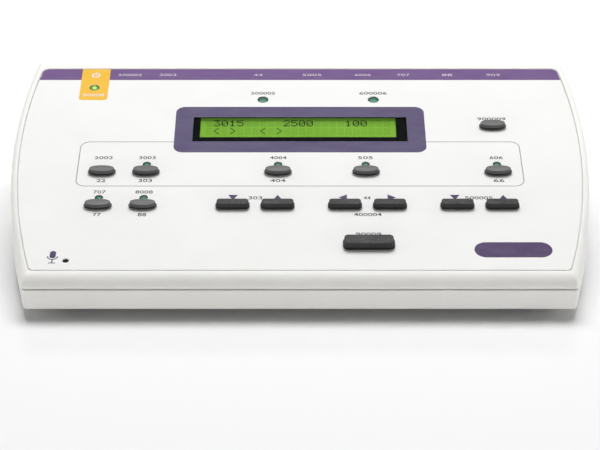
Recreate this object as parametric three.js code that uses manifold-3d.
// A desktop diagnostic audiometer: a low wedge-shaped plastic case with a sloping key panel.
//
// Lengths are in millimetres. +X is to the operator's right, the front faces -Y and +Z is up.
// The origin is at the middle of the table under the case, where the rubber feet stand.
//
// Pieces on the sloping top are built in a panel frame: its x runs across the panel, its y runs up
// the slope from the front edge of the overlay sheet, and its z stands off the sheet's surface.

import * as THREE from 'three';
import { mergeVertices } from 'three/addons/utils/BufferGeometryUtils.js';
import Module from 'manifold-3d';

const wasm = await Module();
wasm.setup();

// Clearances
const fitGap = 0.3;
const windowGap = 0.15;
const cutOverrun = 1;
const weldTolerance = 0.0001;

// Case
const caseWidth = 271;
const caseDepth = 165;
const caseSideRadius = 350;
const caseWidestBehindMiddle = 22;
const caseStraightSide = 32;
const caseCornerRadius = 2;
const smallestCornerRadius = 0.4;
const standHeight = 4.3;
const lowerWallHeight = 9;
const frontLipHeight = 7.5;
const panelTilt = THREE.MathUtils.degToRad(14);
const topEdgeRadius = 4.5;
const sideEdgeReach = 2.8;
const bottomEdgeRadius = 1;
const seamEdgeRound = 0.5;
const wall = 2.5;
const topWall = 3.1;
const innerEdgeRadius = 1;
const floorThickness = 2.5;
const lipThickness = 1.5;
const lipHeight = 2;

// Overlay sheet
const overlayThickness = 0.8;
const overlaySideRim = 4;
const overlaySideRadius = 346;
const overlayWidestBehindMiddle = 17.6;
const overlayFrontRim = 6;
const overlayRearRim = 8.1;
const overlayFrontCorner = 2.3;
const overlayRearCorner = 3.5;
const grooveWidth = 0.5;

// Keys: each cap has a rim standing proud of it all round, just over the sheet
const keyPitch = 10.2;
const outerColumn = 9;
const keyTravel = 0.5;
const keyRestGap = 0.15;
const keyRimHeight = 0.45;
const stemInset = 0.7;
const stemClearance = 0.4;
const stemDepth = 4.9;
const ovalCap = { width: 12, depth: 5.1, rim: 0.5, height: 2.95, edge: 0.45, corner: 0 };
const smallCap = { width: 14.7, depth: 4.6, rim: 0.4, height: 3.3, edge: 0.5, corner: 1.5 };
const largeCap = { width: 22.1, depth: 6.9, rim: 0.5, height: 3.8, edge: 0.6, corner: 1.9 };
const ovalRoundness = 2.25;

// Places along the slope, as shares of the overlay sheet's length
const presentKeyShare = 0.1093;
const frontKeysShare = 0.2881;
const rearKeysShare = 0.4514;
const talkKeyShare = 0.6836;
const displayShare = 0.6923;
const powerLampRearShare = 0.8965;
const microphoneFrontShare = 0.0412;

// Lamps
const lampBehindKey = 6.8;
const keyLampRadius = 1.9;
const statusLampRadius = 2.7;
const powerLampRadius = 2.5;
const lampDome = 0.4;
const lampFlange = 0.45;
const lampFlangeHeight = 1;
const lampBodyDepth = 6.5;
const statusLampBehindDisplay = 3.65;
const presentLampShare = -0.1328;
const responseLampShare = 0.2627;
const powerLampShare = -0.7424;

// Character display module
const displayOffset = 0.9;
const bezelWidth = 104.6;
const bezelDepth = 26.6;
const bezelHeight = 7;
const bezelSheet = 0.5;
const bezelWall = 1;
const bezelClearance = 0.4;
const bezelSideFrame = 5.6;
const bezelLongFrame = 5.05;
const glassThickness = 2.4;
const displayBoardWidth = 118;
const displayBoardDepth = 36;
const headerWidth = 42;
const headerDepth = 2.6;
const windowWidth = 102;
const windowDepth = 19.7;
const windowAheadOfDisplay = 2.9;

// Circuit boards, the stakes that hold them, and the chips with their places as shares of the board
const boardThickness = 1.6;
const keyBoardDrop = 12.5;
const keyBoardMargin = 14.2;
const keyBoardFrontShare = 0.071;
const keyBoardRearShare = 0.92;
const switchSize = 6;
const switchHeight = 3.6;
const plungerRadius = 1.6;
const mainBoardFromSide = 25.5;
const mainBoardFront = 20;
const mainBoardToRear = 7.5;
const mainBoardStand = 6;
const stakePostRadius = 3;
const stakePinRadius = 1.3;
const stakeHeadRadius = 2.4;
const stakeHeadHeight = 1.1;
const sideFrontStakeShare = 0.18;
const sideRearStakeShare = 0.77;
const middleFrontStakeShare = 0.19;
const middleRearStakeShare = 0.885;
const rearStakesAheadOfJacks = 15;
const memoryChip = { width: 22, depth: 16, height: 2.4 };
const processorChip = { width: 14, depth: 14, height: 1.8 };
const toneChip = { width: 10, depth: 7, height: 1.8 };
const amplifierChip = { width: 16, depth: 9, height: 3.2 };
const chips = [
  { ...memoryChip, xShare: -0.55, yShare: 0.12 },
  { ...processorChip, xShare: -0.18, yShare: 0.2 },
  { ...toneChip, xShare: 0.1, yShare: 0.34 },
  { ...amplifierChip, xShare: 0.62, yShare: 0.55 },
];

// Microphone
const microphoneShare = -0.7601;
const microphoneHoleRadius = 1.5;
const capsuleRadius = 3;
const capsuleHeight = 2.7;
const capsuleCollarWall = 1.1;

// Rear panel and connectors, with their places as shares of the rear opening's half width
const rearOpeningFromSide = 25.5;
const rearOpeningHeight = 27.7;
const rearPlateThickness = 2;
const rearPlateMargin = 3;
const plateRibWidth = 4;
const plateRibThickness = 1.5;
const responseJackShare = -0.7628;
const powerInletShare = -0.5928;
const usbSocketShare = -0.1882;
const printerSocketShare = 0.0536;
const insertJackShare = 0.2818;
const boneJackShare = 0.4636;
const leftJackShare = 0.66;
const rightJackShare = 0.8664;
const jack = { width: 15.5, length: 21, bushRadius: 5.5, boreRadius: 3.25, boreDepth: 22 };
const nutAcrossFlats = 14;
const nutThickness = 2;
const bushBeyondNut = 0.3;
const facePlateProud = 0.2;
const usb = { width: 12, height: 11, length: 16, cavityWidth: 8.5, cavityHeight: 7.8, depth: 9 };
const usbTongue = { width: 5.6, height: 3.2, length: 8 };
const inlet = { width: 9, height: 11, length: 13.5, cavityRadius: 3.2, depth: 9.5 };
const inletPin = { radius: 1.05, length: 8.5 };
const printer = { width: 14, height: 13, length: 12.5, collarRadius: 6.2, cavityRadius: 4.7, depth: 7 };
const printerCore = { radius: 3.7, length: 6.2 };

// Flat cable between the boards
const ribbonWidth = 20;
const ribbonThickness = 1;
const ribbonShare = 0.48;
const ribbonTopShare = 0.6;
const ribbonBehindMiddle = 6;
const socketHeight = 4.5;
const socketDepth = 5;
const socketMargin = 1;

// Feet and case screws
const footRadius = 6.75;
const footTaper = 0.9;
const footEdge = 0.6;
const footRecess = 0.8;
const footShare = 0.7196;
const footFromWall = 16;
const screwHeadRadius = 2.8;
const screwHeadHeight = 1.9;
const screwShankRadius = 1.4;
const screwLength = 12;
const screwSink = 1.2;
const screwCross = { length: 3.2, width: 0.8, depth: 1.1 };
const bossRadius = 4.5;
const frontBossShare = 0.8303;
const rearBossShare = 0.8635;
const bossFromWall = 18.5;

// Facet counts
const sideSteps = 12;
const cornerSteps = 3;
const edgeSteps = 4;
const ovalSteps = 20;
const ovalHoleSteps = 10;
const capCornerSteps = 2;
const capEdgeSteps = 2;
const roundSteps = 16;
const fineRoundSteps = 10;
const ribbonSteps = 10;
const nutSides = 6;

// Levels and edges that several pieces share
const halfWidth = caseWidth / 2;
const mainBoardHalfWidth = halfWidth - mainBoardFromSide;
const rearOpeningHalf = halfWidth - rearOpeningFromSide;
const caseFront = -caseDepth / 2;
const caseRear = caseDepth / 2;
const seamHeight = standHeight + lowerWallHeight;
const trayFloor = standHeight + floorThickness;
const panelY = caseFront + overlayFrontRim;
const panelZ = seamHeight + frontLipHeight;
const overlayLength = (caseRear - overlayRearRim - panelY) / Math.cos(panelTilt);
const recessFloor = -(overlayThickness + fitGap);
const innerLip = wall + fitGap + lipThickness;
const plateOuter = caseRear - wall - fitGap;
const plateInner = plateOuter - rearPlateThickness;
const mainBoardBottom = trayFloor + mainBoardStand;
const mainBoardTop = mainBoardBottom + boardThickness;
const connectorSeat = mainBoardTop + fitGap;
const keyBoardTop = -keyBoardDrop;
const keyBoardBottom = keyBoardTop - boardThickness;
const screwHeadTop = standHeight + screwSink + screwHeadHeight;
const screwTip = screwHeadTop + screwLength;

function slopePlace(share) {
  return share * overlayLength;
}

function panelHeight(y) {
  return panelZ + (y - panelY) * Math.tan(panelTilt);
}

// Solids: closed meshes become manifold solids for joining and cutting, and come back as meshes

function toSolid(geometry) {
  const bare = geometry.clone();
  bare.deleteAttribute('normal');
  bare.deleteAttribute('uv');
  const welded = mergeVertices(bare, weldTolerance);
  return new wasm.Manifold(new wasm.Mesh({
    numProp: 3,
    vertProperties: new Float32Array(welded.attributes.position.array),
    triVerts: new Uint32Array(welded.index.array),
  }));
}

function toGeometry(solid) {
  const mesh = solid.getMesh();
  const geometry = new THREE.BufferGeometry();
  geometry.setAttribute('position', new THREE.BufferAttribute(mesh.vertProperties, 3));
  geometry.setIndex(new THREE.BufferAttribute(mesh.triVerts, 1));
  return geometry;
}

function join(base, others) {
  return others.reduce((sum, other) => sum.add(other), base);
}

function cut(base, others) {
  return others.reduce((rest, other) => rest.subtract(other), base);
}

function slab(outline, low, high, matrix = new THREE.Matrix4()) {
  const shape = new THREE.Shape(outline);
  const geometry = new THREE.ExtrudeGeometry(shape, { depth: high - low, bevelEnabled: false });
  geometry.translate(0, 0, low);
  return toSolid(geometry.applyMatrix4(matrix));
}

function block(x, y, low, high, matrix) {
  const corners = [[x[0], y[0]], [x[1], y[0]], [x[1], y[1]], [x[0], y[1]]];
  return slab(corners.map(([px, py]) => new THREE.Vector2(px, py)), low, high, matrix);
}

function centred(middle, size) {
  return [middle - size / 2, middle + size / 2];
}

function ringLoft(rings) {
  const positions = rings.flat().flatMap((point) => [point.x, point.y, point.z]);
  const count = rings[0].length;
  const triangles = [];
  for (let i = 1; i < count - 1; i += 1) {
    const last = (rings.length - 1) * count;
    triangles.push(0, i + 1, i);
    triangles.push(last, last + i, last + i + 1);
  }
  for (let ring = 0; ring < rings.length - 1; ring += 1) {
    for (let i = 0; i < count; i += 1) {
      const here = ring * count + i;
      const next = ring * count + (i + 1) % count;
      triangles.push(here, next, here + count);
      triangles.push(next, next + count, here + count);
    }
  }
  const geometry = new THREE.BufferGeometry();
  geometry.setAttribute('position', new THREE.Float32BufferAttribute(positions, 3));
  geometry.setIndex(triangles);
  return toSolid(geometry);
}

// A turned body about +Z from [radius, height] pairs that start and end on the axis
function turned(pairs, steps = roundSteps) {
  const profile = pairs.map(([radius, height]) => new THREE.Vector2(radius, height));
  const geometry = new THREE.LatheGeometry(profile, steps);
  geometry.rotateX(Math.PI / 2);
  return toSolid(geometry);
}

function rod(radius, low, high, steps = roundSteps) {
  return turned([[0, low], [radius, low], [radius, high], [0, high]], steps);
}

function disc(x, y, radius, steps = roundSteps, firstTurn = 0) {
  return Array.from({ length: steps }, (_, i) => {
    const turn = firstTurn + (i / steps) * 2 * Math.PI;
    return new THREE.Vector2(x + radius * Math.cos(turn), y + radius * Math.sin(turn));
  });
}

// Outlines

// Plan with straight ends and bowed sides: one half from front to rear, then the same mirrored.
// A side with a straight length runs straight from its front corner to where the bow begins.
function barrelOutline(side, front, rear, frontCorner, rearCorner) {
  const { radius, middle, straight } = side;
  const centreX = side.reach - radius;
  const cornerAt = (y, corner) => {
    const x = centreX + Math.sqrt((radius - corner) ** 2 - (y - middle) ** 2);
    return { x, y, corner, turn: Math.atan2(y - middle, x - centreX) };
  };
  const near = cornerAt(front + frontCorner, frontCorner);
  const far = cornerAt(rear - rearCorner, rearCorner);
  const bow = cornerAt(front + straight, 0);
  if (straight > 0) {
    const rise = near.y - bow.y;
    near.x = bow.x - (frontCorner + rise * Math.sin(bow.turn)) / Math.cos(bow.turn);
    near.turn = bow.turn;
  }
  const half = [];
  for (let i = 0; i <= cornerSteps; i += 1) {
    const turn = THREE.MathUtils.lerp(-Math.PI / 2, near.turn, i / cornerSteps);
    half.push([near.x + near.corner * Math.cos(turn), near.y + near.corner * Math.sin(turn)]);
  }
  for (let i = straight > 0 ? 0 : 1; i < sideSteps; i += 1) {
    const turn = THREE.MathUtils.lerp(near.turn, far.turn, i / sideSteps);
    half.push([centreX + radius * Math.cos(turn), middle + radius * Math.sin(turn)]);
  }
  for (let i = 0; i <= cornerSteps; i += 1) {
    const turn = THREE.MathUtils.lerp(far.turn, Math.PI / 2, i / cornerSteps);
    half.push([far.x + far.corner * Math.cos(turn), far.y + far.corner * Math.sin(turn)]);
  }
  const mirrored = half.toReversed().map(([x, y]) => [-x, y]);
  return [...half, ...mirrored].map(([x, y]) => new THREE.Vector2(x, y));
}

function caseRing(inset, heightAt, sideInset = inset) {
  const corner = Math.max(caseCornerRadius - inset, smallestCornerRadius);
  const side = {
    reach: halfWidth - sideInset,
    radius: caseSideRadius - sideInset,
    middle: caseWidestBehindMiddle,
    straight: caseStraightSide - inset,
  };
  const outline = barrelOutline(side, caseFront + inset, caseRear - inset, corner, corner);
  return outline.map((point) => new THREE.Vector3(point.x, point.y, heightAt(point.y)));
}

function overlayOutline(grow) {
  const side = {
    reach: halfWidth - overlaySideRim + grow,
    radius: overlaySideRadius + grow,
    middle: overlayWidestBehindMiddle,
    straight: 0,
  };
  const outline = barrelOutline(
    side,
    panelY - grow,
    caseRear - overlayRearRim + grow,
    overlayFrontCorner + grow,
    overlayRearCorner + grow,
  );
  return outline.map(({ x, y }) => new THREE.Vector2(x, (y - panelY) / Math.cos(panelTilt)));
}

// The outline of a key cap, drawn in or let out evenly: an oval, or a rectangle with round corners
function capOutline(cap, inset, steps = ovalSteps) {
  const halfX = cap.width / 2 - inset;
  const halfY = cap.depth / 2 - inset;
  if (cap.corner === 0) {
    const bulge = (value) => Math.sign(value) * Math.abs(value) ** (2 / ovalRoundness);
    return Array.from({ length: steps }, (_, i) => {
      const turn = ((i + 1 / 2) / steps) * 2 * Math.PI;
      return new THREE.Vector2(halfX * bulge(Math.cos(turn)), halfY * bulge(Math.sin(turn)));
    });
  }
  const radius = Math.max(cap.corner - inset, smallestCornerRadius);
  const quarters = [[1, 1, 0], [-1, 1, 1], [-1, -1, 2], [1, -1, 3]];
  return quarters.flatMap(([sideX, sideY, quarter]) => (
    Array.from({ length: capCornerSteps + 1 }, (_, i) => {
      const turn = (quarter + i / capCornerSteps) * (Math.PI / 2);
      const x = sideX * (halfX - radius) + radius * Math.cos(turn);
      const y = sideY * (halfY - radius) + radius * Math.sin(turn);
      return new THREE.Vector2(x, y);
    })
  ));
}

// The hole that a key's stem passes, in the sheet and in the shell
function keyHole({ cap, x, y }) {
  const place = new THREE.Vector2(x, y);
  return capOutline(cap, stemInset - stemClearance, ovalHoleSteps).map((point) => point.add(place));
}

// Where the keys and lamps stand on the panel

const keys = [
  { name: 'key_menu', cap: ovalCap, column: -outerColumn, share: rearKeysShare },
  { name: 'key_pulse', cap: ovalCap, column: -7, share: rearKeysShare, lamp: 'lamp_pulse' },
  { name: 'key_mask', cap: ovalCap, column: -1, share: rearKeysShare, lamp: 'lamp_mask' },
  { name: 'key_boost', cap: ovalCap, column: 3, share: rearKeysShare, lamp: 'lamp_boost' },
  { name: 'key_bone', cap: ovalCap, column: outerColumn, share: rearKeysShare, lamp: 'lamp_bone' },
  { name: 'key_left', cap: ovalCap, column: -outerColumn, share: frontKeysShare, lamp: 'lamp_left' },
  { name: 'key_right', cap: ovalCap, column: -7, share: frontKeysShare, lamp: 'lamp_right' },
  { name: 'key_level_down', cap: smallCap, column: -3, share: frontKeysShare },
  { name: 'key_level_up', cap: smallCap, column: -1, share: frontKeysShare },
  { name: 'key_tone_down', cap: smallCap, column: 2, share: frontKeysShare },
  { name: 'key_tone_up', cap: smallCap, column: 4, share: frontKeysShare },
  { name: 'key_noise_down', cap: smallCap, column: 7, share: frontKeysShare },
  { name: 'key_noise_up', cap: smallCap, column: outerColumn, share: frontKeysShare },
  { name: 'key_present', cap: largeCap, column: 3, share: presentKeyShare },
  { name: 'key_talk', cap: ovalCap, column: outerColumn, share: talkKeyShare },
].map((key) => ({ ...key, x: key.column * keyPitch, y: slopePlace(key.share) }));

const displayY = slopePlace(displayShare);
const displayX = -displayOffset;
const windowY = displayY - windowAheadOfDisplay;
const statusLampY = displayY + displayBoardDepth / 2 + statusLampBehindDisplay;
const powerLampY = slopePlace(powerLampRearShare);

const lamps = keys.filter((key) => key.lamp).map((key) => (
  { name: key.lamp, x: key.x, y: key.y + lampBehindKey, radius: keyLampRadius }
));
const otherLamps = [
  { name: 'lamp_present', share: presentLampShare, y: statusLampY, radius: statusLampRadius },
  { name: 'lamp_response', share: responseLampShare, y: statusLampY, radius: statusLampRadius },
  { name: 'lamp_power', share: powerLampShare, y: powerLampY, radius: powerLampRadius },
];
for (const { name, share, y, radius } of otherLamps) {
  lamps.push({ name, x: share * halfWidth, y, radius });
}

const microphoneX = microphoneShare * halfWidth;
const microphoneY = slopePlace(microphoneFrontShare);

// Screw bosses stand outside the boards, one near each corner of the case
const bosses = [-1, 1].flatMap((side) => [
  { name: `case_screw_front_${side < 0 ? 'left' : 'right'}`, x: side * frontBossShare * halfWidth,
    y: caseFront + bossFromWall },
  { name: `case_screw_rear_${side < 0 ? 'left' : 'right'}`, x: side * rearBossShare * halfWidth,
    y: caseRear - bossFromWall },
]);

// Materials
const offWhite = { color: 0xf4f4f1, roughness: 0.42, metalness: 0 };
const sheetWhite = { color: 0xf6f6f4, roughness: 0.5, metalness: 0 };
const keyGrey = { color: 0x5d5e60, roughness: 0.55, metalness: 0 };
const keyDark = { color: 0x37373a, roughness: 0.5, metalness: 0 };
const lampGreen = { color: 0x2f8a70, roughness: 0.25, metalness: 0 };
const blackPaint = { color: 0x111216, roughness: 0.5, metalness: 0.2 };
const liquidGreen = { color: 0x78b043, roughness: 0.3, metalness: 0 };
const clearPlastic = { color: 0xdfe6e6, roughness: 0.08, metalness: 0 };
const diffuser = { color: 0xe6eadf, roughness: 0.6, metalness: 0 };
const boardGreen = { color: 0x1f5a38, roughness: 0.5, metalness: 0 };
const blackPlastic = { color: 0x1b1b1d, roughness: 0.55, metalness: 0 };
const nickel = { color: 0xc3c4c6, roughness: 0.3, metalness: 0.9 };
const rubber = { color: 0x202022, roughness: 0.85, metalness: 0 };
const greyCable = { color: 0x9a9da1, roughness: 0.6, metalness: 0 };

const audiometer = new THREE.Group();
audiometer.name = 'audiometer';
const panel = new THREE.Group();
panel.position.set(0, panelY, panelZ);
panel.rotation.x = panelTilt;
panel.updateMatrix();
audiometer.add(panel);

function addPiece(parent, name, solid, finish, x = 0, y = 0, z = 0) {
  const mesh = new THREE.Mesh(toGeometry(solid), new THREE.MeshStandardMaterial(finish));
  mesh.name = name;
  mesh.position.set(x, y, z);
  parent.add(mesh);
  return mesh;
}

// Stakes: posts moulded on a shell that hold a board by a pin with a melted head

const keyBoardHalf = outerColumn * keyPitch + keyBoardMargin;
const keyBoardStakeX = keyBoardHalf - stakePostRadius;
const keyBoardStakes = [
  [-keyBoardStakeX, slopePlace(sideFrontStakeShare)],
  [keyBoardStakeX, slopePlace(sideFrontStakeShare)],
  [-keyBoardStakeX, slopePlace(sideRearStakeShare)],
  [keyBoardStakeX, slopePlace(sideRearStakeShare)],
  [0, slopePlace(middleFrontStakeShare)],
  [0, slopePlace(middleRearStakeShare)],
];
const mainBoardStakeX = mainBoardHalfWidth - stakePostRadius - wall;
const frontStakeY = stakePostRadius + wall - mainBoardFront;
const rearStakeY = plateInner - fitGap - jack.length - rearStakesAheadOfJacks;
const mainBoardStakes = [-mainBoardStakeX, 0, mainBoardStakeX].flatMap((x) => (
  [frontStakeY, rearStakeY].map((y) => [x, y])
));

function stake(x, y, base, boardNear, boardFar, matrix) {
  const along = Math.sign(boardFar - boardNear);
  const head = boardFar + along * fitGap;
  const headEnd = head + along * stakeHeadHeight;
  const span = (from, to) => [Math.min(from, to), Math.max(from, to)];
  return join(slab(disc(x, y, stakePostRadius, fineRoundSteps),
    ...span(base, boardNear - along * fitGap), matrix), [
    slab(disc(x, y, stakePinRadius, fineRoundSteps), ...span(base, headEnd), matrix),
    slab(disc(x, y, stakeHeadRadius, fineRoundSteps), ...span(head, headEnd), matrix),
  ]);
}

// Upper shell

function upperShellBody() {
  const seam = seamHeight + fitGap / 2;
  const rings = [
    caseRing(seamEdgeRound, () => seam),
    caseRing(0, () => seam + seamEdgeRound),
  ];
  for (let i = 0; i <= edgeSteps; i += 1) {
    const turn = (i / edgeSteps) * (Math.PI / 2);
    const drop = topEdgeRadius * (1 - Math.sin(turn));
    const reach = 1 - Math.cos(turn);
    rings.push(caseRing(topEdgeRadius * reach, (y) => panelHeight(y) - drop, sideEdgeReach * reach));
  }
  const hollow = ringLoft([
    caseRing(wall, () => seamHeight - cutOverrun),
    caseRing(wall, (y) => panelHeight(y) - topWall - innerEdgeRadius),
    caseRing(wall + innerEdgeRadius, (y) => panelHeight(y) - topWall),
  ]);
  return ringLoft(rings).subtract(hollow);
}

const ceiling = -topWall * Math.cos(panelTilt) + fitGap;

function upperShellFittings() {
  const posts = keyBoardStakes.map(([x, y]) => (
    stake(x, y, ceiling, keyBoardTop, keyBoardBottom, panel.matrix)
  ));
  const bossPosts = bosses.map(({ x, y }) => {
    const top = panelHeight(y - bossRadius) - topWall + fitGap;
    return slab(disc(x, y, bossRadius), seamHeight + fitGap / 2, top);
  });
  const collar = slab(
    disc(microphoneX, microphoneY, capsuleRadius + fitGap + capsuleCollarWall),
    ceiling - capsuleHeight - 2 * fitGap,
    ceiling,
    panel.matrix,
  );
  const ribs = [-1, 1].map((side) => {
    const x = side * (rearOpeningHalf + rearPlateMargin - plateRibWidth / 2);
    const y = plateInner - fitGap - plateRibThickness / 2;
    const low = seamHeight + rearOpeningHeight;
    return block(centred(x, plateRibWidth), centred(y, plateRibThickness), low,
      panelHeight(y) - topWall / 2);
  });
  return [...posts, ...bossPosts, collar, ...ribs];
}

const openingX = centred(displayX, bezelWidth + 2 * bezelClearance);
const openingY = centred(displayY, bezelDepth + 2 * bezelClearance);
const shellBottomOfPanel = -topWall - cutOverrun;

function upperShellCuts() {
  const onPanel = (outline, low, high) => slab(outline, low, high, panel.matrix);
  const keyHoles = keys.map((key) => onPanel(keyHole(key), shellBottomOfPanel, 0));
  const lampHoles = lamps.map(({ x, y, radius }) => (
    onPanel(disc(x, y, radius + lampFlange + fitGap, fineRoundSteps), shellBottomOfPanel, 0)
  ));
  const capsuleSeat = ceiling - fitGap;
  const bossHoles = bosses.map(({ x, y }) => slab(
    disc(x, y, screwShankRadius + fitGap, fineRoundSteps),
    seamHeight - cutOverrun,
    screwTip + fitGap,
  ));
  return [
    onPanel(overlayOutline(grooveWidth), recessFloor, topEdgeRadius),
    block(openingX, openingY, shellBottomOfPanel, 0, panel.matrix),
    ...keyHoles,
    ...lampHoles,
    onPanel(disc(microphoneX, microphoneY, microphoneHoleRadius, fineRoundSteps),
      capsuleSeat - cutOverrun, 0),
    onPanel(disc(microphoneX, microphoneY, capsuleRadius + fitGap),
      ceiling - capsuleHeight - 2 * fitGap - cutOverrun, capsuleSeat),
    ...bossHoles,
    block(centred(0, 2 * rearOpeningHalf), [caseRear - wall - cutOverrun, caseRear + cutOverrun],
      seamHeight - cutOverrun, seamHeight + rearOpeningHeight),
  ];
}

addPiece(
  audiometer,
  'top_shell',
  cut(join(upperShellBody(), upperShellFittings()), upperShellCuts()),
  offWhite,
);

// Lower shell, its feet and the case screws

const feet = [-1, 1].flatMap((side) => [
  { name: `foot_front_${side < 0 ? 'left' : 'right'}`, x: side * footShare * halfWidth,
    y: caseFront + footFromWall },
  { name: `foot_rear_${side < 0 ? 'left' : 'right'}`, x: side * footShare * halfWidth,
    y: caseRear - footFromWall },
]);

function lowerShellSolid() {
  const seam = seamHeight - fitGap / 2;
  const outer = ringLoft([
    caseRing(bottomEdgeRadius, () => standHeight),
    caseRing(bottomEdgeRadius * (1 - Math.SQRT1_2),
      () => standHeight + bottomEdgeRadius * (1 - Math.SQRT1_2)),
    caseRing(0, () => standHeight + bottomEdgeRadius),
    caseRing(0, () => seam - seamEdgeRound),
    caseRing(seamEdgeRound, () => seam),
  ]);
  const lip = ringLoft([
    caseRing(wall + fitGap, () => trayFloor),
    caseRing(wall + fitGap, () => seam + lipHeight),
  ]);
  const hollow = ringLoft([
    caseRing(innerLip, () => trayFloor),
    caseRing(innerLip, () => seam + lipHeight + cutOverrun),
  ]);
  const plateHalf = rearOpeningHalf + rearPlateMargin;
  const plateSlot = block(
    centred(0, 2 * (plateHalf + fitGap)),
    [plateInner - fitGap, plateOuter + fitGap],
    trayFloor,
    seam + lipHeight + cutOverrun,
  );
  const ribs = [-1, 1].map((side) => block(
    centred(side * (plateHalf - plateRibWidth / 2), plateRibWidth),
    centred(plateInner - fitGap - plateRibThickness / 2, plateRibThickness),
    standHeight + floorThickness / 2,
    mainBoardBottom - fitGap,
  ));
  const bossPosts = bosses.map(({ x, y }) => slab(disc(x, y, bossRadius),
    standHeight + floorThickness / 2, seam));
  const posts = mainBoardStakes.map(([x, y]) => (
    stake(x, y, standHeight + floorThickness / 2, mainBoardBottom, mainBoardTop)
  ));
  const bossCuts = bosses.flatMap(({ x, y }) => [
    slab(disc(x, y, screwHeadRadius + fitGap), standHeight - cutOverrun, screwHeadTop + fitGap),
    slab(disc(x, y, screwShankRadius + fitGap, fineRoundSteps), standHeight, seam + cutOverrun),
  ]);
  const footSeats = feet.map(({ x, y }) => (
    slab(disc(x, y, footRadius + fitGap), standHeight - cutOverrun, standHeight + footRecess)
  ));
  const tray = cut(join(outer, [lip]), [hollow, plateSlot]);
  return cut(join(tray, [...ribs, ...bossPosts, ...posts]), [...bossCuts, ...footSeats]);
}

addPiece(audiometer, 'bottom_shell', lowerShellSolid(), offWhite);

for (const foot of feet) {
  const top = standHeight + footRecess - fitGap;
  const solid = turned([
    [0, 0],
    [footRadius - footTaper - footEdge, 0],
    [footRadius - footTaper, footEdge],
    [footRadius, standHeight],
    [footRadius, top],
    [0, top],
  ]);
  addPiece(audiometer, foot.name, solid, rubber, foot.x, foot.y);
}

for (const boss of bosses) {
  const headLow = standHeight + screwSink;
  const body = turned([
    [0, headLow],
    [screwHeadRadius, headLow],
    [screwHeadRadius, screwHeadTop],
    [screwShankRadius, screwHeadTop],
    [screwShankRadius, screwTip - screwShankRadius],
    [0, screwTip],
  ], fineRoundSteps);
  const { length, width, depth } = screwCross;
  const slots = [[length, width], [width, length]].map(([sizeX, sizeY]) => (
    block(centred(0, sizeX), centred(0, sizeY), headLow - cutOverrun, headLow + depth)
  ));
  addPiece(audiometer, boss.name, cut(body, slots), nickel, boss.x, boss.y);
}

// Overlay sheet with the holes for keys, lamps, microphone and display window

const overlayCuts = [
  ...keys.map((key) => slab(keyHole(key), -overlayThickness - cutOverrun, cutOverrun)),
  ...lamps.map(({ x, y, radius }) => slab(disc(x, y, radius + windowGap),
    -overlayThickness - cutOverrun, cutOverrun)),
  slab(disc(microphoneX, microphoneY, microphoneHoleRadius, fineRoundSteps),
    -overlayThickness - cutOverrun, cutOverrun),
  block(centred(0, windowWidth), centred(windowY, windowDepth),
    -overlayThickness - cutOverrun, cutOverrun),
];
addPiece(panel, 'panel_overlay', cut(slab(overlayOutline(0), -overlayThickness, 0), overlayCuts),
  sheetWhite);

addPiece(
  panel,
  'display_window',
  block(
    centred(0, windowWidth - 2 * windowGap),
    centred(windowY, windowDepth - 2 * windowGap),
    -overlayThickness,
    0,
  ),
  clearPlastic,
);

// Character display: steel bezel, glass, backlight and board, plugged on the key board by a header

const bezelTop = recessFloor;
const glassTop = bezelTop - bezelSheet - fitGap;
const glassBottom = glassTop - glassThickness;
const bezelBottom = bezelTop - bezelHeight;
const displayBoardTop = bezelBottom - fitGap;
const displayBoardBottom = displayBoardTop - boardThickness;
const innerWidth = bezelWidth - 2 * bezelWall;
const innerDepth = bezelDepth - 2 * bezelWall;
const viewWidth = bezelWidth - 2 * bezelSideFrame;
const viewDepth = bezelDepth - 2 * bezelLongFrame;

addPiece(
  panel,
  'lcd_bezel',
  cut(
    block(centred(0, bezelWidth), centred(0, bezelDepth), bezelBottom, bezelTop),
    [
      block(centred(0, innerWidth), centred(0, innerDepth), bezelBottom - cutOverrun,
        bezelTop - bezelSheet),
      block(centred(0, viewWidth), centred(0, viewDepth), bezelBottom, bezelTop + cutOverrun),
    ],
  ),
  blackPaint,
  displayX,
  displayY,
);
const seatedWidth = innerWidth - 2 * fitGap;
const seatedDepth = innerDepth - 2 * fitGap;
addPiece(panel, 'lcd_glass',
  block(centred(0, seatedWidth), centred(0, seatedDepth), glassBottom, glassTop),
  liquidGreen, displayX, displayY);
addPiece(panel, 'lcd_backlight',
  block(centred(0, seatedWidth), centred(0, seatedDepth), bezelBottom, glassBottom - fitGap),
  diffuser, displayX, displayY);
addPiece(panel, 'lcd_board',
  block(centred(0, displayBoardWidth), centred(0, displayBoardDepth), displayBoardBottom,
    displayBoardTop),
  boardGreen, displayX, displayY);
const headerY = displayY - displayBoardDepth / 2 + headerDepth;
addPiece(panel, 'lcd_header',
  block(centred(0, headerWidth), centred(0, headerDepth), keyBoardTop + fitGap,
    displayBoardBottom - fitGap),
  blackPlastic, displayX, headerY);

// Key board with a tactile switch under each key and the socket of the flat cable below

const stemBottom = -stemDepth;
const plungerTop = stemBottom - keyTravel - windowGap;
const ribbonX = ribbonShare * halfWidth;
const ribbonTopY = slopePlace(ribbonTopShare);
const ribbonSocketX = centred(ribbonX, ribbonWidth + 2 * socketMargin);

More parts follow.
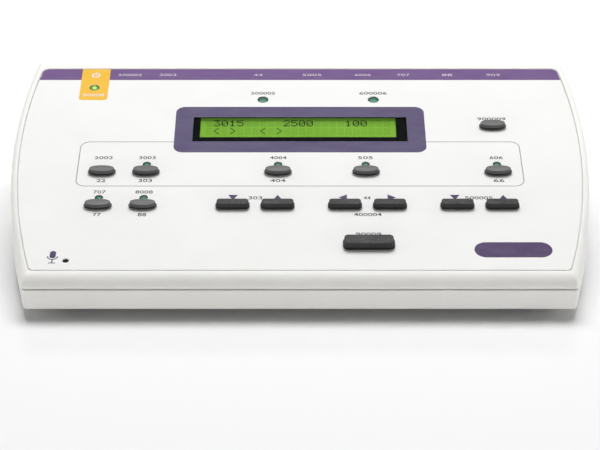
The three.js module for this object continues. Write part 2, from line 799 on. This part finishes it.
function keyBoardSolid() {
  const edge = [slopePlace(keyBoardFrontShare), slopePlace(keyBoardRearShare)];
  const plate = block(centred(0, 2 * keyBoardHalf), edge, keyBoardBottom, keyBoardTop);
  const embed = boardThickness / 2;
  const switches = keys.flatMap(({ x, y }) => [
    block(centred(x, switchSize), centred(y, switchSize), keyBoardTop - embed,
      keyBoardTop + switchHeight),
    slab(disc(x, y, plungerRadius, fineRoundSteps), keyBoardTop, plungerTop),
  ]);
  const socket = block(ribbonSocketX, centred(ribbonTopY, socketDepth),
    keyBoardBottom - socketHeight, keyBoardBottom + embed);
  const stakeHoles = keyBoardStakes.map(([x, y]) => (
    slab(disc(x, y, stakePinRadius + fitGap, fineRoundSteps), keyBoardBottom - cutOverrun,
      keyBoardTop + cutOverrun)
  ));
  const toPanel = panel.matrix.clone().invert();
  const bossNotches = bosses.map(({ x, y }) => (
    slab(disc(x, y, bossRadius + 2 * fitGap), trayFloor, panelHeight(y), toPanel)
  ));
  return cut(join(plate, [...switches, socket]), [...stakeHoles, ...bossNotches]);
}
addPiece(panel, 'key_board', keyBoardSolid(), boardGreen);

// Key caps: a stem through the shell, a rim just over the sheet, and a cap with a rounded edge

function keyCapSolid(cap) {
  const rimLow = keyTravel + keyRestGap;
  const rimHigh = rimLow + keyRimHeight;
  const level = (inset, height) => (
    capOutline(cap, inset).map((point) => new THREE.Vector3(point.x, point.y, height))
  );
  const rounding = Array.from({ length: capEdgeSteps + 1 }, (_, step) => {
    const turn = (step / capEdgeSteps) * (Math.PI / 2);
    const inset = cap.edge * (1 - Math.cos(turn));
    return level(inset, cap.height - cap.edge * (1 - Math.sin(turn)));
  });
  return ringLoft([
    level(stemInset, stemBottom),
    level(stemInset, rimLow),
    level(-cap.rim, rimLow),
    level(-cap.rim, rimHigh),
    level(0, rimHigh),
    ...rounding,
  ]);
}

for (const { name, cap, x, y } of keys) {
  addPiece(panel, name, keyCapSolid(cap), cap === ovalCap ? keyGrey : keyDark, x, y);
}

// Lamps: a lens flush with the sheet on a spacer that stands on the key board

for (const { name, x, y, radius } of lamps) {
  const flangeHigh = -lampBodyDepth;
  const solid = turned([
    [0, keyBoardTop + fitGap],
    [radius, keyBoardTop + fitGap],
    [radius, flangeHigh - lampFlangeHeight],
    [radius + lampFlange, flangeHigh - lampFlangeHeight],
    [radius + lampFlange, flangeHigh],
    [radius, flangeHigh],
    [radius, -lampDome],
    [radius * Math.SQRT1_2, -lampDome * (1 - Math.SQRT1_2)],
    [0, 0],
  ], fineRoundSteps);
  addPiece(panel, name, solid, lampGreen, x, y);
}

addPiece(panel, 'microphone',
  rod(capsuleRadius, ceiling - 2 * fitGap - capsuleHeight, ceiling - 2 * fitGap),
  nickel, microphoneX, microphoneY);

// Rear connectors: every body stands on the main board and its face lies in the rear plate

const rearFacing = new THREE.Matrix4().makeBasis(
  new THREE.Vector3(-1, 0, 0),
  new THREE.Vector3(0, 0, 1),
  new THREE.Vector3(0, 1, 0),
);
const faceOuter = plateOuter + facePlateProud;
const bushEnd = plateOuter + fitGap + nutThickness + bushBeyondNut;
const jackAxis = connectorSeat + jack.width / 2;

// Shapes below are drawn on the rear plate: x along the plate, y up it, and depth out of it
function rearBlock(width, low, high, inner, outer) {
  return block(centred(0, width), [low, high], inner, outer, rearFacing);
}

function rearRod(height, radius, inner, outer, steps = roundSteps) {
  return slab(disc(0, height, radius, steps), inner, outer, rearFacing);
}

function jackSolid() {
  const front = plateInner - fitGap;
  const body = rearBlock(jack.width, connectorSeat, connectorSeat + jack.width,
    front - jack.length, front);
  const bush = rearRod(jackAxis, jack.bushRadius, front - fitGap, bushEnd);
  const bore = rearRod(jackAxis, jack.boreRadius, bushEnd - jack.boreDepth, bushEnd + cutOverrun);
  return cut(join(body, [bush]), [bore]);
}

function usbSolid() {
  const middle = connectorSeat + usb.height / 2;
  const body = rearBlock(usb.width, connectorSeat, connectorSeat + usb.height,
    faceOuter - usb.length, faceOuter);
  const cavity = rearBlock(usb.cavityWidth, middle - usb.cavityHeight / 2,
    middle + usb.cavityHeight / 2, faceOuter - usb.depth, faceOuter + cutOverrun);
  const back = faceOuter - usb.depth;
  const tongue = rearBlock(usbTongue.width, middle - usbTongue.height / 2,
    middle + usbTongue.height / 2, back - wall, back + usbTongue.length);
  return join(cut(body, [cavity]), [tongue]);
}

function inletSolid() {
  const middle = connectorSeat + inlet.height / 2;
  const body = rearBlock(inlet.width, connectorSeat, connectorSeat + inlet.height,
    faceOuter - inlet.length, faceOuter);
  const back = faceOuter - inlet.depth;
  const cavity = rearRod(middle, inlet.cavityRadius, back, faceOuter + cutOverrun);
  const pin = rearRod(middle, inletPin.radius, back - wall, back + inletPin.length, fineRoundSteps);
  return join(cut(body, [cavity]), [pin]);
}

function printerSolid() {
  const middle = connectorSeat + printer.height / 2;
  const front = plateInner - fitGap;
  const body = rearBlock(printer.width, connectorSeat, connectorSeat + printer.height,
    front - printer.length, front);
  const collar = rearRod(middle, printer.collarRadius, front - fitGap, faceOuter);
  const back = faceOuter - printer.depth;
  const cavity = rearRod(middle, printer.cavityRadius, back, faceOuter + cutOverrun);
  const core = rearRod(middle, printerCore.radius, back - wall, back + printerCore.length);
  return join(cut(join(body, [collar]), [cavity]), [core]);
}

function nutSolid() {
  const halfSide = Math.PI / nutSides;
  const outline = disc(0, jackAxis, nutAcrossFlats / 2 / Math.cos(halfSide), nutSides, halfSide);
  const low = plateOuter + fitGap;
  const hexagon = slab(outline, low, low + nutThickness, rearFacing);
  return cut(hexagon, [rearRod(jackAxis, jack.bushRadius + fitGap, low - cutOverrun,
    low + nutThickness + cutOverrun)]);
}

const jacks = [
  ['response', responseJackShare],
  ['insert', insertJackShare],
  ['bone', boneJackShare],
  ['left', leftJackShare],
  ['right', rightJackShare],
];
const plateCuts = [];
const plateCutSpan = [plateInner - cutOverrun, plateOuter + cutOverrun];

for (const [name, share] of jacks) {
  const x = share * rearOpeningHalf;
  addPiece(audiometer, `${name}_jack`, jackSolid(), blackPlastic, x);
  addPiece(audiometer, `${name}_jack_nut`, nutSolid(), nickel, x);
  plateCuts.push(slab(disc(-x, jackAxis, jack.bushRadius + fitGap), ...plateCutSpan, rearFacing));
}

const usbX = usbSocketShare * rearOpeningHalf;
const inletX = powerInletShare * rearOpeningHalf;
const printerX = printerSocketShare * rearOpeningHalf;
addPiece(audiometer, 'usb_socket', usbSolid(), nickel, usbX);
addPiece(audiometer, 'power_inlet', inletSolid(), blackPlastic, inletX);
addPiece(audiometer, 'printer_socket', printerSolid(), blackPlastic, printerX);

for (const [x, { width, height }] of [[usbX, usb], [inletX, inlet]]) {
  const span = [connectorSeat - fitGap, connectorSeat + height + fitGap];
  plateCuts.push(block(centred(-x, width + 2 * fitGap), span, ...plateCutSpan, rearFacing));
}
plateCuts.push(slab(
  disc(-printerX, connectorSeat + printer.height / 2, printer.collarRadius + fitGap),
  ...plateCutSpan,
  rearFacing,
));

const rearPlate = block(
  centred(0, 2 * (rearOpeningHalf + rearPlateMargin)),
  [trayFloor + fitGap, seamHeight + rearOpeningHeight + rearPlateMargin],
  plateInner,
  plateOuter,
  rearFacing,
);
addPiece(audiometer, 'rear_panel', cut(rearPlate, plateCuts), offWhite);

// Main board with its chips and the lower socket of the flat cable

const boardRear = caseRear - mainBoardToRear;

function mainBoardSolid() {
  const span = boardRear + mainBoardFront;
  const plate = block(centred(0, 2 * mainBoardHalfWidth), [-mainBoardFront, boardRear],
    mainBoardBottom, mainBoardTop);
  const embed = boardThickness / 2;
  const parts = chips.map(({ xShare, yShare, width, depth, height }) => block(
    centred(xShare * mainBoardHalfWidth, width),
    centred(yShare * span - mainBoardFront, depth),
    mainBoardTop - embed,
    mainBoardTop + height,
  ));
  const socket = block(ribbonSocketX, centred(ribbonBehindMiddle, socketDepth), mainBoardTop - embed,
    mainBoardTop + socketHeight);
  const stakeHoles = mainBoardStakes.map(([x, y]) => slab(
    disc(x, y, stakePinRadius + fitGap, fineRoundSteps),
    mainBoardBottom - cutOverrun,
    mainBoardTop + cutOverrun,
  ));
  const bossNotches = bosses.map(({ x, y }) => (
    slab(disc(x, y, bossRadius + 2 * fitGap), standHeight, panelHeight(y))
  ));
  return cut(join(plate, [...parts, socket]), [...stakeHoles, ...bossNotches]);
}
addPiece(audiometer, 'main_board', mainBoardSolid(), boardGreen);

// Flat cable: a band of even thickness along a curve from the upper socket to the lower one

function ribbonSolid() {
  const upper = new THREE.Vector3(0, ribbonTopY, keyBoardBottom - socketHeight - fitGap);
  const away = new THREE.Vector3(0, 0, -1).transformDirection(panel.matrix);
  upper.applyMatrix4(panel.matrix);
  const start = new THREE.Vector2(upper.y, upper.z);
  const end = new THREE.Vector2(ribbonBehindMiddle, mainBoardTop + socketHeight + fitGap);
  const reach = start.distanceTo(end) / 2;
  const curve = new THREE.CubicBezierCurve(
    start,
    start.clone().add(new THREE.Vector2(away.y, away.z).multiplyScalar(reach / 2)),
    end.clone().add(new THREE.Vector2(0, reach / 2)),
    end,
  );
  const stations = Array.from({ length: ribbonSteps + 1 }, (_, i) => i / ribbonSteps);
  const edge = (side) => stations.map((t) => {
    const along = curve.getTangent(t);
    const normal = new THREE.Vector2(-along.y, along.x);
    return curve.getPoint(t).addScaledVector(normal, side * (ribbonThickness / 2));
  });
  const toWorld = new THREE.Matrix4().makeBasis(
    new THREE.Vector3(0, 1, 0),
    new THREE.Vector3(0, 0, 1),
    new THREE.Vector3(1, 0, 0),
  );
  return slab([...edge(1), ...edge(-1).reverse()], ...centred(ribbonX, ribbonWidth), toWorld);
}
addPiece(audiometer, 'ribbon_cable', ribbonSolid(), greyCable);

export default audiometer;
